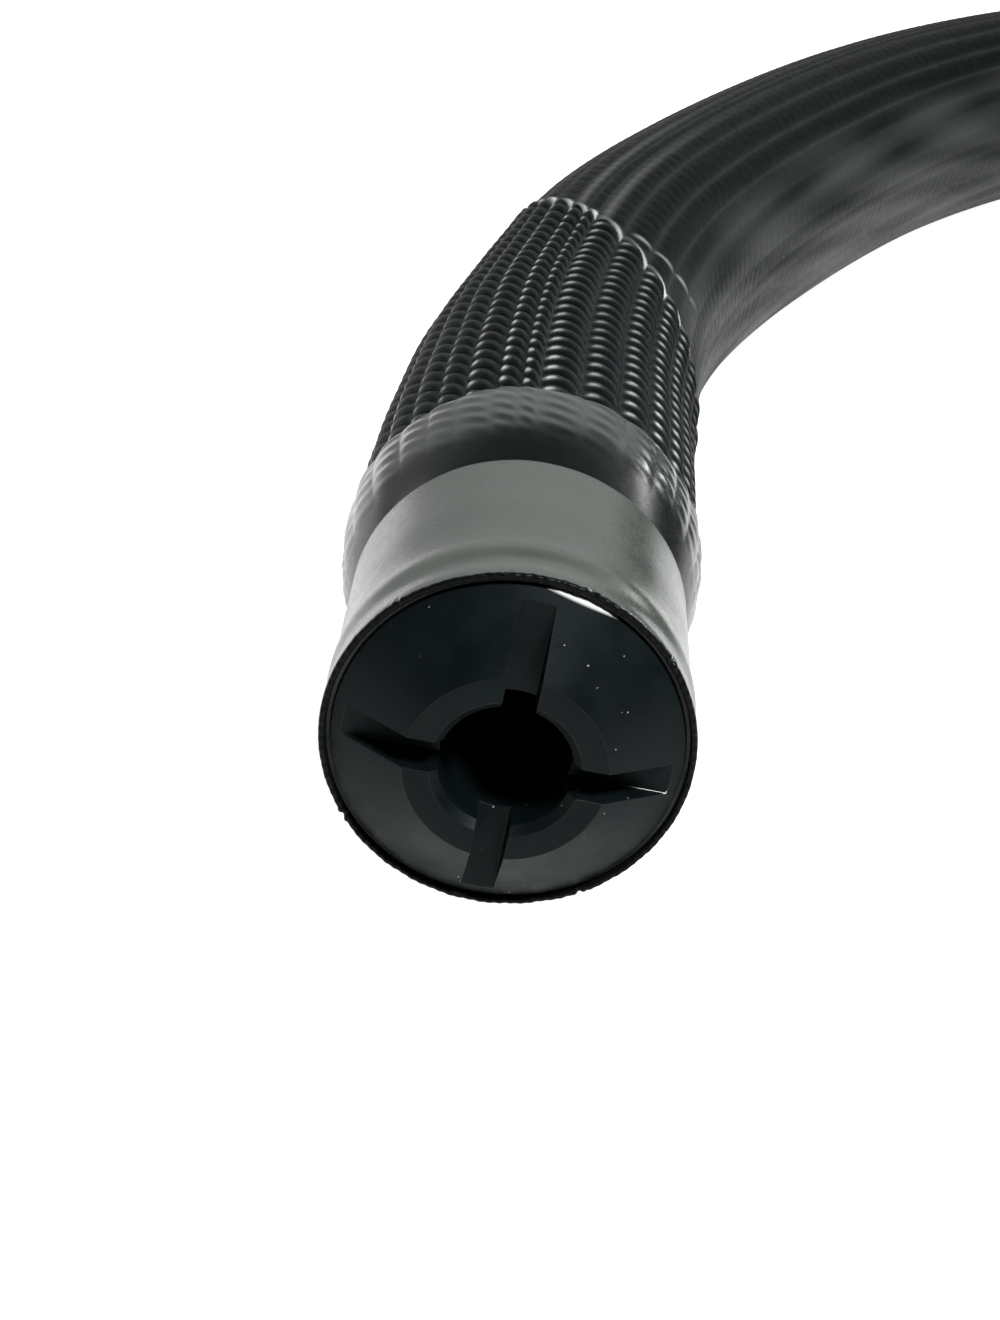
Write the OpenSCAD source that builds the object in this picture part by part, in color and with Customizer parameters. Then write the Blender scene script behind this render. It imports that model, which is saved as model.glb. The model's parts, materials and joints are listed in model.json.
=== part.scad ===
// Fabric-jacketed vacuum hose: a slotted nose plug at one end, a swivel cuff at the other.
// Millimetres. The origin is the centre of the nose rim, +Y runs into the hose and +Z is up.
// The hose lies on a floor at z = -collar_d / 2, with its spare length wound in a strapped coil.

/* [Hose] */
// Outside diameter of the woven jacket
jacket_od = 50; // [49:0.5:50.5]
// Inside diameter of the liner, the hose's nominal size
liner_id = 38; // [37.5:0.25:38.25]
// Outside diameter of the liner under the end sleeves
liner_od = 44.8; // [44.4:0.1:44.9]
// Thickness of the wire that holds the liner open
wire_d = 1.6; // [1:0.2:2]
// Distance between turns of the wire
wire_pitch = 7; // [6:0.5:10]

/* [Nose plug] */
// Diameter of the plug where its cone meets the rim
plug_d = 44.9; // [44:0.1:45]
// How far the cone stands out of the rim
cone_h = 6.6; // [5:0.2:8]
// Diameter of the flat land on the cone
land_d = 25.8; // [24:0.2:30]
// Diameter of the bore through the plug
bore_d = 17; // [14:0.5:18]
// Lead-in chamfer at the mouth of the bore
bore_lead = 1.1; // [0.5:0.1:1.5]
// Width of each slot across the cone
slot_w = 4.3; // [3.5:0.1:5]
// Height of the slot floors above the rim
slot_floor = 1; // [0.6:0.1:2]
// Turn of the slots away from upright
slot_turn = 4; // [0:1:45]

/* [End sleeves] */
// Outside diameter of the flared rim
rim_d = 48; // [48:0.1:48.6]
// Length of the smooth outer sleeve
smooth_len = 37; // [34:0.5:37]
// Distance from the rim to the end of the longer sleeve
sleeve_end = 57.6; // [56:0.2:64]
// Outside diameter of the longer sleeve over the jacket
collar_d = 52.4; // [52.4:0.1:53]
// Width of the crimp bands
band_w = 5; // [4:0.5:6]

/* [Swivel cuff] */
// Diameter of the socket in the cuff
socket_d = 38.1; // [36:0.1:39]
// Depth of the socket
socket_depth = 50; // [36:1:56]
// Outside diameter of the ring nut, the widest part of the cuff
nut_d = 56; // [55:0.5:56]
// Diameter of the journal that the cuff turns on
journal_d = 40.4; // [39.5:0.1:41]
// Radial clearance on the journal
journal_gap = 0.08; // [0.05:0.01:0.1]

/* [Coil] */
// Diameter of the coil at the middle of its turns
coil_d = 560; // [540:5:600]
// Width of the straps that tie the coil
strap_w = 25; // [20:1:30]
// Thickness of the straps
strap_t = 2; // [1.5:0.1:2]

/* [Hidden] */
$fn = 96;

BLACK = "#141516";
CHARCOAL = "#2a2c2d";
GREY = "#4a4f4e";
STEEL = "#b8bcc0";
CLOTH = "#202224";
BONE = "#d8d6cc";

fit = 0.05;
floor_z = -collar_d / 2;

// Plug and liner, along the hose from the rim
flange_len = 3;
flange_r = plug_d / 2;
liner_start = flange_len + 0.3;
liner_r = liner_od / 2;
bore_len = 9;
throat_r = 15;
throat_at = 20;
spigot_r = liner_id / 2 - 0.4;
spigot_end = 50;
barb_r = liner_id / 2 - fit;
barb_len = 4;
front_barbs = [9, 24];
rear_barb = 40;
seal_section = 1.8;
seal_at = 34;
seal_groove_r = barb_r - seal_section;
seal_groove_w = seal_section + 0.2;
band_at = [8, 23];
band_t = 0.5;
band_seat_r = liner_r - band_t;

// End sleeves
sleeve_in = 23.1;
sleeve_wall = 0.62;
lip_proud = 0.3;
ring_in = 22.6;
ring_front = 0.8;
ring_back = 6.5;
weave_start = 15;
ramp_start = 38;
ramp_end = 54;
jacket_r = jacket_od / 2;
jacket_seat_r = jacket_r + 0.38;
collar_r = collar_d / 2;

// Swivel cuff, measured outwards from the far rim
stop_len = 3.5;
stop_r = 23.2;
lip_from = 5;
lip_to = 9;
thrust_from = 13;
thrust_to = 17;
thrust_r = 22.6;
pilot_to = 20;
pilot_r = 18.6;
insert_bore_r = 16;
journal_r = journal_d / 2;
seal_ring_r = 20.9;
seal_ring_d = 2.6;
chamber_r = 23;
chamber_to = 19.8;
pilot_bore_r = 19.1;
ledge_from = 21;
ledge_r = 16.8;
socket_from = 24;
socket_to = socket_from + socket_depth;
cuff_r = 23.6;
skirt_r = 25.6;
bead_r = 25;
nut_r = nut_d / 2;
nut_to = 27;
nut_flutes = 24;
flute_r = 1.6;
grip_from = 31;
grip_to = socket_to - 9;
grip_r = 26;
grip_ridges = 7;

// Coil: two columns by two layers, with the last turn and the cuff lying on top
col_gap = jacket_od + 1;
row_gap = jacket_od + 0.5;
r_in = coil_d / 2 - col_gap / 2;
r_out = coil_d / 2 + col_gap / 2;
strap_gap = 0.5;
row_1 = floor_z + strap_t + strap_gap + jacket_r;
row_2 = row_1 + row_gap;
row_3 = row_2 + row_gap;
entry_at = [304, 548];
entry_heading = 50;
coil_at = entry_at + r_out * [cos(entry_heading), -sin(entry_heading)];
// Turning angles from the coil's entry, as pairs of start and end: the hose moves to the
// inner column, rises to the second row, moves back out, and climbs over to the third row
inward = [266, 360];
lift = [584, 688];
outward = [897, 1013];
climb = [1180, 1256];
rise = [1330, 1390];
// Where each strap goes, with the turns of hose that it bends round, anticlockwise
strap_ties = [
    [25, [1, 0, 3, 2]], [95, [1, 0, 3, 2]], [190, [1, 0, 3]], [295, [1, 0, 2, 3]]
];
slide_h = 18;
slide_t = 2.4;
slide_frame = 4;
tail_step = 14;
tail_run = 30;
cuff_axis_z = row_2 + jacket_r + nut_r + 0.7;
far_rim = [coil_at[0] - r_in, coil_at[1] + tail_run + sleeve_end, cuff_axis_z];

// The route of the uncoiled hose after the sleeves, on the floor and round to the coil
ROUTE = [
    [0, 75, 0], [1, 100, -0.4], [3, 125, -0.7], [6, 148, -0.8], [10, 170, -0.8],
    [16, 193, -0.8], [24, 215, -0.8], [33, 237, -0.8], [43, 260, -0.8], [54, 283, -0.8],
    [66, 307, -0.8], [80, 332, -0.8], [97, 358, -0.8], [118, 385, -0.6], [144, 414, -0.3],
    [194, 456, 0.5], [248, 501, 1]
];

tube_sides = 12;
wire_sides = 8;
wire_steps = 18;

function smooth(t) = t <= 0 ? 0 : t >= 1 ? 1 : t * t * (3 - 2 * t);
function part_of(turn, span) = smooth((turn - span[0]) / (span[1] - span[0]));

// Radius and height of the hose in the coil, at a turning angle from its entry
function wound(turn) =
    let (over = 90 * part_of(turn, climb))
    let (up = (cuff_axis_z - row_3) * part_of(turn, rise))
    turn < climb[0] ?
        [
            r_out + col_gap * (part_of(turn, outward) - part_of(turn, inward)),
            row_1 + row_gap * part_of(turn, lift)
        ] :
        [r_in + col_gap * cos(over), row_2 + row_gap * sin(over) + up];

function coil_point(turn) =
    let (a = entry_heading + turn, w = wound(turn))
    [coil_at[0] - w[0] * cos(a), coil_at[1] + w[0] * sin(a), w[1]];

function unit(v) = v / norm(v);
function tangent(p, i) =
    unit(p[min(i + 1, len(p) - 1)] - p[max(i - 1, 0)]);
function side_of(t) = unit([t[1], -t[0], 0]);
function ring(c, t, r, sides) =
    let (u = side_of(t), v = cross(u, t))
    [for (k = [0 : sides - 1]) c + r * (cos(360 * k / sides) * u + sin(360 * k / sides) * v)];

// A closed tube of radius r through the points p
module swept_tube(p, r, sides, first, last) {
    n = len(p);
    points = [
        for (i = [0 : n - 1])
        each ring(p[i], i == 0 ? first : i == n - 1 ? last : tangent(p, i), r, sides)
    ];
    walls = [
        for (i = [0 : n - 2])
        for (k = [0 : sides - 1])
        let (a = i * sides + k, b = i * sides + (k + 1) % sides)
        [a, b, b + sides, a + sides]
    ];
    start = [for (k = [sides - 1 : -1 : 0]) k];
    end = [for (k = [0 : sides - 1]) (n - 1) * sides + k];
    polyhedron(points, concat([start], walls, [end]), convexity = 8);
}

// Both ends of the hose are drawn with the rim at z = 0 and the hose running up +Z
module at_nose() {
    rotate([-90, 0, 0]) children();
}

module at_far_end() {
    translate(far_rim) rotate([90, 0, 0]) children();
}

// The cuff is drawn outwards, away from the hose
module at_cuff() {
    translate(far_rim) rotate([-90, 0, 0]) children();
}

module pipe(outer, inner, from, to) {
    translate([0, 0, from])
    difference() {
        cylinder(r = outer, h = to - from);
        translate([0, 0, -1]) cylinder(r = inner, h = to - from + 2);
    }
}

module o_ring(middle_r, section, z) {
    translate([0, 0, z])
    rotate_extrude()
    translate([middle_r, 0])
    circle(d = section, $fn = 32);
}

function barb(z) = [[spigot_r, z], [barb_r, z], [spigot_r, z + barb_len]];

// The outside of a spigot from its root to its end, with barbs and an O-ring groove
function spigot_side() = concat(
    [for (z = front_barbs) each barb(z)],
    [
        [spigot_r, seal_at - seal_groove_w / 2], [seal_groove_r, seal_at - seal_groove_w / 2],
        [seal_groove_r, seal_at + seal_groove_w / 2], [spigot_r, seal_at + seal_groove_w / 2]
    ],
    barb(rear_barb),
    [[spigot_r - 1, spigot_end]]
);

module plug_slots() {
    for (k = [0 : 3])
    rotate([0, 0, slot_turn + 90 * k])
    translate([0, -slot_w / 2, -cone_h - 1])
    cube([plug_d, slot_w, cone_h + 1 - slot_floor]);
}

// The slotted cone, its flange and the barbed spigot inside the liner
module nose_plug() {
    color(BLACK) at_nose()
    difference() {
        rotate_extrude()
        polygon(concat(
            [
                [bore_d / 2 + bore_lead, -cone_h], [land_d / 2, -cone_h], [flange_r, 0],
                [flange_r, flange_len], [spigot_r, flange_len]
            ],
            spigot_side(),
            [
                [throat_r, spigot_end], [throat_r, throat_at], [bore_d / 2, bore_len],
                [bore_d / 2, bore_lead - cone_h]
            ]
        ));
        plug_slots();
    }
}

module plug_seal() {
    color(BLACK) at_nose()
    o_ring(seal_groove_r + seal_section / 2, seal_section, seal_at);
}

module seat_ring() {
    color(BLACK) at_nose()
    pipe(sleeve_in - fit, ring_in, ring_front, ring_back);
}

module crimp_band(z) {
    pipe(liner_r, band_seat_r + fit, z, z + band_w);
}

module front_crimp_band() {
    color(STEEL) at_nose() crimp_band(band_at[0]);
}

module rear_crimp_band() {
    color(STEEL) at_nose() crimp_band(band_at[1]);
}

module liner() {
    difference() {
        pipe(liner_r, liner_id / 2, liner_start, sleeve_end);
        for (z = band_at)
        pipe(liner_r + 1, band_seat_r, z - fit, z + band_w + fit);
    }
}

// A helical wire moulded into the wall of the liner
module wire() {
    middle = (liner_id / 2 + band_seat_r) / 2;
    turns = (sleeve_end - liner_start - 2 * wire_d) / wire_pitch;
    steps = floor(turns * wire_steps);
    helix = [
        for (i = [0 : steps])
        let (a = 360 * i / wire_steps)
        [middle * cos(a), middle * sin(a), liner_start + wire_d + wire_pitch * i / wire_steps]
    ];
    swept_tube(helix, wire_d / 2, wire_sides, tangent(helix, 0), tangent(helix, steps));
}

module sleeved_jacket() {
    rotate_extrude()
    polygon([
        [liner_r + fit, ramp_start + 1], [liner_r + 0.25, ramp_start + 1],
        [jacket_seat_r, ramp_end], [jacket_seat_r, sleeve_end], [liner_r + fit, sleeve_end]
    ]);
}

// The longer sleeve: thin over the liner, then up a ramp and over the jacket
module long_sleeve() {
    rotate_extrude()
    polygon([
        [liner_r + 0.1, weave_start], [sleeve_in - fit, weave_start],
        [sleeve_in - fit, smooth_len + 0.4], [sleeve_in + 0.5, smooth_len + 3],
        [collar_r - 0.3, ramp_end - 2], [collar_r, ramp_end + 1],
        [collar_r, sleeve_end - 0.4], [collar_r - 0.3, sleeve_end],
        [jacket_seat_r + fit, sleeve_end], [jacket_seat_r + fit, ramp_end],
        [liner_r + 0.1, ramp_start]
    ]);
}

// The smooth sleeve, from its flared lip over a small bead to its cut edge
module short_sleeve() {
    body_r = sleeve_in + sleeve_wall;
    rotate_extrude()
    polygon([
        [sleeve_in, -lip_proud], [rim_d / 2 - 0.15, -lip_proud], [rim_d / 2, 0],
        [rim_d / 2, 1.2], [body_r + 0.02, 4.6], [body_r, 6.2], [rim_d / 2 - 0.02, 7.6],
        [rim_d / 2 - 0.02, 8.4], [body_r, 9.8], [body_r - 0.07, 20],
        [body_r - 0.15, smooth_len - 0.4], [body_r - 0.35, smooth_len], [sleeve_in, smooth_len]
    ]);
}

module hose_liner() {
    color(GREY) at_nose() liner();
}

module support_wire() {
    color(STEEL) at_nose() wire();
}

module jacket_end() {
    color(CLOTH) at_nose() sleeved_jacket();
}

module weave_sleeve() {
    color(CHARCOAL) at_nose() long_sleeve();
}

module smooth_sleeve() {
    color(GREY) at_nose() short_sleeve();
}

// The jacketed hose from the sleeves to the coil
module hose_tube() {
    path = concat([[0, sleeve_end, 0]], ROUTE, [coil_point(0)]);
    leaving = [sin(entry_heading), cos(entry_heading), 0];
    color(CLOTH) swept_tube(path, jacket_r, tube_sides, [0, 1, 0], leaving);
}

// The outline round equal circles of radius r whose centres p run anticlockwise
module bundle_outline(p, r) {
    n = len(p);
    for (c = p)
    translate(c)
    circle(r = r);
    polygon([
        for (i = [0 : n - 1])
        let (a = p[i], b = p[(i + 1) % n], d = unit(b - a), out = [d[1], -d[0]] * r)
        each [a + out, b + out]
    ]);
}

// The outer shape of the two by two turns on the floor
module hose_coil() {
    turns = [[r_in, row_1], [r_out, row_1], [r_out, row_2], [r_in, row_2]];
    color(CLOTH)
    translate([coil_at[0], coil_at[1], 0])
    rotate_extrude($fn = 180)
    bundle_outline(turns, jacket_r);
}

// The last turn climbs on top of the coil and runs straight into the far sleeves
module hose_tail() {
    arc = [for (turn = [climb[0] : tail_step : rise[1]]) coil_point(turn)];
    stop = far_rim - [0, sleeve_end, 0];
    first = unit(coil_point(climb[0] + 1) - coil_point(climb[0]));
    color(CLOTH) swept_tube(concat(arc, [stop]), jacket_r, tube_sides, first, [0, 1, 0]);
}

// The places in the coil's radial plane of the turns of hose that a strap ties
function tied(tie) = [for (k = tie[1]) wound(tie[0] + 360 * k)];

// Places something drawn in the coil's radial plane, at a turning angle
module at_turn(turn) {
    translate([coil_at[0], coil_at[1], 0])
    rotate([0, 0, 180 - entry_heading - turn])
    rotate([90, 0, 0])
    children();
}

module coil_straps() {
    inner = jacket_r + strap_gap;
    color(BLACK)
    for (tie = strap_ties)
    at_turn(tie[0])
    linear_extrude(height = strap_w, center = true)
    difference() {
        bundle_outline(tied(tie), inner + strap_t);
        bundle_outline(tied(tie), inner);
    }
}

// A slide buckle on the outward side of each strap
module strap_slides() {
    wide = strap_w + 2 * slide_frame;
    color(GREY)
    for (tie = strap_ties) {
        low = tied(tie)[1];
        high = tied(tie)[2];
        along = unit(high - low);
        at_turn(tie[0])
        translate((low + high) / 2)
        rotate([0, 0, atan2(along[1], along[0]) - 90])
        translate([jacket_r + strap_gap + strap_t + fit, -slide_h / 2, -wide / 2])
        difference() {
            cube([slide_t, slide_h, wide]);
            translate([-1, slide_frame, slide_frame])
            cube([slide_t + 2, slide_h - 2 * slide_frame, wide - 2 * slide_frame]);
        }
    }
}

module far_smooth_sleeve() {
    color(GREY) at_far_end() short_sleeve();
}

module far_weave_sleeve() {
    color(CHARCOAL) at_far_end() long_sleeve();
}

module far_jacket_end() {
    color(CLOTH) at_far_end() sleeved_jacket();
}

module far_liner() {
    color(GREY) at_far_end() liner();
}

module far_support_wire() {
    color(STEEL) at_far_end() wire();
}

module far_crimp_bands() {
    color(STEEL) at_far_end()
    for (z = band_at) crimp_band(z);
}

// The fixed barrel: a spigot in the liner, a stop, a journal and the thrust flange
module cuff_insert() {
    color(BLACK) at_far_end()
    rotate_extrude()
    polygon(concat(
        [
            [insert_bore_r, -pilot_to], [pilot_r, -pilot_to], [pilot_r, -thrust_to],
            [thrust_r, -thrust_to], [thrust_r, -thrust_from], [journal_r, -thrust_from],
            [journal_r, -stop_len], [stop_r, -stop_len], [stop_r, -0.4], [spigot_r, -0.4]
        ],
        spigot_side(),
        [[insert_bore_r, spigot_end]]
    ));
}

module insert_seal() {
    color(BLACK) at_far_end()
    o_ring(seal_groove_r + seal_section / 2, seal_section, seal_at);
}

module cuff_washer() {
    color(BONE) at_cuff()
    pipe(thrust_r - 0.1, journal_r + 0.1, lip_to + 0.2, thrust_from - 0.1);
}

module cuff_seal() {
    color(BLACK) at_cuff()
    o_ring(seal_ring_r, seal_ring_d, (thrust_to + chamber_to) / 2);
}

// The turning cuff: a skirt round the thrust flange, a ledge and the socket
module cuff_body() {
    color(BLACK) at_cuff()
    rotate_extrude()
    polygon([
        [chamber_r, lip_to + 0.2], [skirt_r - 0.6, lip_to + 0.2], [skirt_r, lip_to + 0.8],
        [skirt_r, nut_to - 0.5], [cuff_r, nut_to + 1.5], [cuff_r, socket_to - 6],
        [bead_r, socket_to - 4.5], [bead_r, socket_to - 0.8], [bead_r - 0.8, socket_to],
        [socket_d / 2 + 0.8, socket_to], [socket_d / 2, socket_to - 1],
        [socket_d / 2, socket_from], [ledge_r, socket_from], [ledge_r, ledge_from],
        [pilot_bore_r, ledge_from], [pilot_bore_r, chamber_to], [chamber_r, chamber_to]
    ]);
}

// The fluted ring nut whose lip runs on the journal
module cuff_collar() {
    color(CHARCOAL) at_cuff()
    difference() {
        union() {
            pipe(nut_r, journal_r + journal_gap, lip_from, lip_to);
            pipe(nut_r, skirt_r + 0.1, lip_to, nut_to);
        }
        for (k = [0 : nut_flutes - 1])
        rotate([0, 0, 360 * k / nut_flutes])
        translate([nut_r + 0.5, 0, lip_from - 1])
        cylinder(r = flute_r, h = nut_to - lip_from - 1, $fn = 24);
    }
}

// A soft ribbed sleeve on the cuff
module cuff_grip() {
    step = (grip_to - grip_from) / grip_ridges;
    color(GREY) at_cuff()
    difference() {
        pipe(grip_r, cuff_r + fit, grip_from, grip_to);
        for (k = [1 : grip_ridges - 1])
        translate([0, 0, grip_from + k * step])
        rotate_extrude()
        translate([grip_r + 0.4, 0])
        circle(r = 1.4, $fn = 24);
    }
}

nose_plug();
plug_seal();
seat_ring();
front_crimp_band();
rear_crimp_band();
hose_liner();
support_wire();
jacket_end();
weave_sleeve();
smooth_sleeve();
hose_tube();
hose_coil();
hose_tail();
coil_straps();
strap_slides();
far_smooth_sleeve();
far_weave_sleeve();
far_jacket_end();
far_liner();
far_support_wire();
far_crimp_bands();
cuff_insert();
insert_seal();
cuff_washer();
cuff_seal();
cuff_body();
cuff_collar();
cuff_grip();
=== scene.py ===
import json
import math

import bmesh
import bpy
import numpy as np
from mathutils import Matrix, Vector


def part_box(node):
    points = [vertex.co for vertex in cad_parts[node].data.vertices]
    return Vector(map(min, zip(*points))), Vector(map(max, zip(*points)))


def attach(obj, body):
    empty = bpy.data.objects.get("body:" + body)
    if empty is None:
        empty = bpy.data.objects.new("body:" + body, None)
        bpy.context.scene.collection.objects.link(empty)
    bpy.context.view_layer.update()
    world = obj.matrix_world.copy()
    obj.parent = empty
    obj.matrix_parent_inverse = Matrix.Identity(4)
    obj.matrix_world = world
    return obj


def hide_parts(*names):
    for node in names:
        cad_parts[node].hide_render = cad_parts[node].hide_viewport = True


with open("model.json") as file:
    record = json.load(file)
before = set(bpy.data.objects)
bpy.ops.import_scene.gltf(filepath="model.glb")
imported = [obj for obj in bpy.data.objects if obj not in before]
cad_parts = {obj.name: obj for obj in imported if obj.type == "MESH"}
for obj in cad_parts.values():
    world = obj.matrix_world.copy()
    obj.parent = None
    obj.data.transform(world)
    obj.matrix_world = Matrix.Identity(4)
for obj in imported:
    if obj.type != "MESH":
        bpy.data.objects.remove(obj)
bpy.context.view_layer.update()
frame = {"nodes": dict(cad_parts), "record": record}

MM = 0.001
FULL_TURN = 2 * math.pi


# ---------------------------------------------------------------- places, from the frame

def corners(node):
    """The low and the high corner of a CAD node's box."""
    low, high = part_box(node)
    return np.array(low), np.array(high)


COIL_LOW, COIL_HIGH = corners("hose_coil")
SLEEVE_END = corners("weave_sleeve")[1][1]
SMOOTH_END = corners("smooth_sleeve")[1][1]
PLUG_R = corners("nose_plug")[1][0]
FLOOR_Z = corners("coil_straps")[0][2]
JACKET_R = 25 * MM
CUFF_X, _, CUFF_Z = frame["record"]["behaviour"]["joints"][0]["pos_m"]
TAIL_END_Y = corners("hose_tail")[1][1]
FAR_RIM = np.array([CUFF_X, TAIL_END_Y + SLEEVE_END, CUFF_Z])

# The coil's columns and rows, and the turning angles of its changes, as in the CAD
COIL_X, COIL_Y = (COIL_LOW[:2] + COIL_HIGH[:2]) / 2
COLUMN_GAP = 2 * JACKET_R + 1 * MM
ROW_GAP = 2 * JACKET_R + 0.5 * MM
R_OUT = (COIL_HIGH[0] - COIL_LOW[0]) / 2 - JACKET_R
R_IN = R_OUT - COLUMN_GAP
ROW_1 = COIL_LOW[2] + JACKET_R
ROW_2 = ROW_1 + ROW_GAP
ROW_3 = ROW_2 + ROW_GAP
ENTRY_HEADING = 50
INWARD = (266, 360)
LIFT = (584, 688)
OUTWARD = (897, 1013)
CLIMB = (1180, 1256)
RISE = (1330, 1390)

# The uncoiled hose's route after the sleeves, as in the CAD
ROUTE = [
    (0.000, 0.075, 0.0000), (0.001, 0.100, -0.0004), (0.003, 0.125, -0.0007),
    (0.006, 0.148, -0.0008), (0.010, 0.170, -0.0008), (0.016, 0.193, -0.0008),
    (0.024, 0.215, -0.0008), (0.033, 0.237, -0.0008), (0.043, 0.260, -0.0008),
    (0.054, 0.283, -0.0008), (0.066, 0.307, -0.0008), (0.080, 0.332, -0.0008),
    (0.097, 0.358, -0.0008), (0.118, 0.385, -0.0006), (0.144, 0.414, -0.0003),
    (0.194, 0.456, 0.0005), (0.248, 0.501, 0.0010),
]


# ---------------------------------------------------------------- camera, floor and light

# The camera's distance from the rim's centre in metres, its angles in degrees, and the
# slopes by which the rim's centre lies right of and below the middle of its view
CAMERA_DISTANCE = 0.2903
CAMERA_AZIMUTH, CAMERA_ELEVATION, CAMERA_ROLL = -1.613, 29.729, 7.832
RIM_RIGHT, RIM_DOWN = 0.0031983, 0.0368735
SENSOR_SIZE, LENS_LENGTH = 36, 62.7273

FLOOR_HALF = 6.0
BACKDROP_R = 5.5
WHITE = (1, 1, 1, 1)

# The wall's grey from the horizon (0) to straight up (1)
WALL_GREYS = [(0.0, 1.0), (0.55, 0.8), (0.78, 0.06), (1.0, 0.02)]

# Each lamp's name, place, width and height in metres, and watts
LAMPS = [
    ("box_left", (-1.0, 0.5, 0.4), (0.4, 0.4), 1),
    ("box_right", (1.2, 0.75, 0.42), (1.0, 0.4), 22),
    ("box_back", (0.0, 1.8, 1.1), (1.2, 0.5), 0.6),
    ("box_top", (0.35, -0.40, 0.95), (0.2, 0.2), 21),
]
LAMP_TARGET = (0.0, 0.10, 0.0)


def add_camera():
    """The picture's camera: in front of the rim, above it, and rolled a little."""
    az, el, turn = (math.radians(v) for v in (CAMERA_AZIMUTH, CAMERA_ELEVATION, CAMERA_ROLL))
    back = Vector((math.sin(az) * math.cos(el), -math.cos(az) * math.cos(el), math.sin(el)))
    right = (-back).cross(Vector((0, 0, 1))).normalized()
    up = right.cross(-back)
    rows = Matrix((
        right * math.cos(turn) + up * math.sin(turn),
        -right * math.sin(turn) + up * math.cos(turn),
        -back,
    ))
    rim = Vector((RIM_RIGHT, -RIM_DOWN, 1)).normalized()
    aim = rim.rotation_difference(Vector((0, 0, 1))).to_matrix()
    right, up, ahead = aim.transposed() @ rows
    data = bpy.data.cameras.new("camera")
    data.sensor_width = SENSOR_SIZE
    data.lens = LENS_LENGTH
    data.clip_start, data.clip_end = 0.01, 20
    camera = bpy.data.objects.new("camera", data)
    camera.matrix_world = Matrix.Translation(back * CAMERA_DISTANCE) @ Matrix((
        (right.x, up.x, -ahead.x), (right.y, up.y, -ahead.y), (right.z, up.z, -ahead.z)
    )).to_4x4()
    bpy.context.collection.objects.link(camera)
    bpy.context.scene.camera = camera


def add_floor():
    """A white floor at the height that the coil lies on."""
    mesh = bpy.data.meshes.new("floor")
    square = ((-1, -1), (1, -1), (1, 1), (-1, 1))
    mesh.from_pydata(
        [(FLOOR_HALF * x, FLOOR_HALF * y, FLOOR_Z) for x, y in square], [], [(0, 1, 2, 3)])
    floor = bpy.data.objects.new("floor", mesh)
    bpy.context.collection.objects.link(floor)
    mesh.materials.append(plain(
        "floor_white", (0.45, 0.45, 0.45), 0.8, Emission_Strength=1.0,
        Emission_Color=WHITE))


def add_backdrop():
    """A pale dome round the studio, seen by the camera but by no light or reflection."""
    mesh = bpy.data.meshes.new("backdrop")
    shape = bmesh.new()
    bmesh.ops.create_uvsphere(shape, u_segments=48, v_segments=24, radius=BACKDROP_R)
    shape.to_mesh(mesh)
    shape.free()
    backdrop = bpy.data.objects.new("backdrop", mesh)
    bpy.context.collection.objects.link(backdrop)
    mesh.materials.append(plain(
        "backdrop_pale", (0.0, 0.0, 0.0), 1.0, Emission_Strength=0.93,
        Emission_Color=WHITE, Specular_IOR_Level=0.0))
    backdrop.visible_diffuse = False
    backdrop.visible_glossy = False
    backdrop.visible_transmission = False
    backdrop.visible_shadow = False


def add_lamp(name, place, size, power):
    """A rectangular soft box that faces the hose's near end."""
    data = bpy.data.lights.new(name, "AREA")
    data.shape = "RECTANGLE"
    data.size, data.size_y = size
    data.energy = power
    lamp = bpy.data.objects.new(name, data)
    lamp.location = place
    look = Vector(LAMP_TARGET) - Vector(place)
    lamp.rotation_mode = "QUATERNION"
    lamp.rotation_quaternion = look.to_track_quat("-Z", "Y")
    bpy.context.collection.objects.link(lamp)


def add_wall():
    """A pale wall behind that is dark above and in front, and dimmer low at both sides."""
    world = bpy.data.worlds.new("studio")
    bpy.context.scene.world = world
    world.use_nodes = True
    n = Nodes(world.node_tree, world.node_tree.nodes["Background"])
    x, y, z = n.split(n.generated)
    ramp = n.add("ShaderNodeValToRGB")
    n.link(z, ramp.inputs[0])
    while len(ramp.color_ramp.elements) < len(WALL_GREYS):
        ramp.color_ramp.elements.new(0.5)
    for element, (at, grey) in zip(ramp.color_ramp.elements, WALL_GREYS):
        element.position = at
        element.color = (grey, grey, grey, 1)
    n.link(ramp.outputs[0], n.shader.inputs["Color"])
    low_right = n.math("MULTIPLY", n.spread(z, 0.05, 0.22, 0.85, 0.0),
                       n.spread(x, 0.2, 0.4, 0.0, 1.0))
    low_left = n.math("MULTIPLY", n.spread(z, 0.0, 0.3, 0.35, 0.0),
                      n.spread(x, -0.15, -0.35, 0.0, 1.0))
    behind = n.spread(y, -0.7, 0.3, 0.02, 0.75)
    shade = n.math("SUBTRACT", 1.0, n.math("ADD", low_right, low_left))
    n.link(n.math("MULTIPLY", behind, shade), n.shader.inputs["Strength"])


# ---------------------------------------------------------------- curves, and the hose's line

def smoothstep(t):
    """A smooth rise from 0 to 1 as t does."""
    t = np.clip(t, 0, 1)
    return t * t * (3 - 2 * t)


def part_of(turn, span):
    """How far a change of the coil has gone at a turning angle, from 0 to 1."""
    return smoothstep((turn - span[0]) / (span[1] - span[0]))


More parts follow.
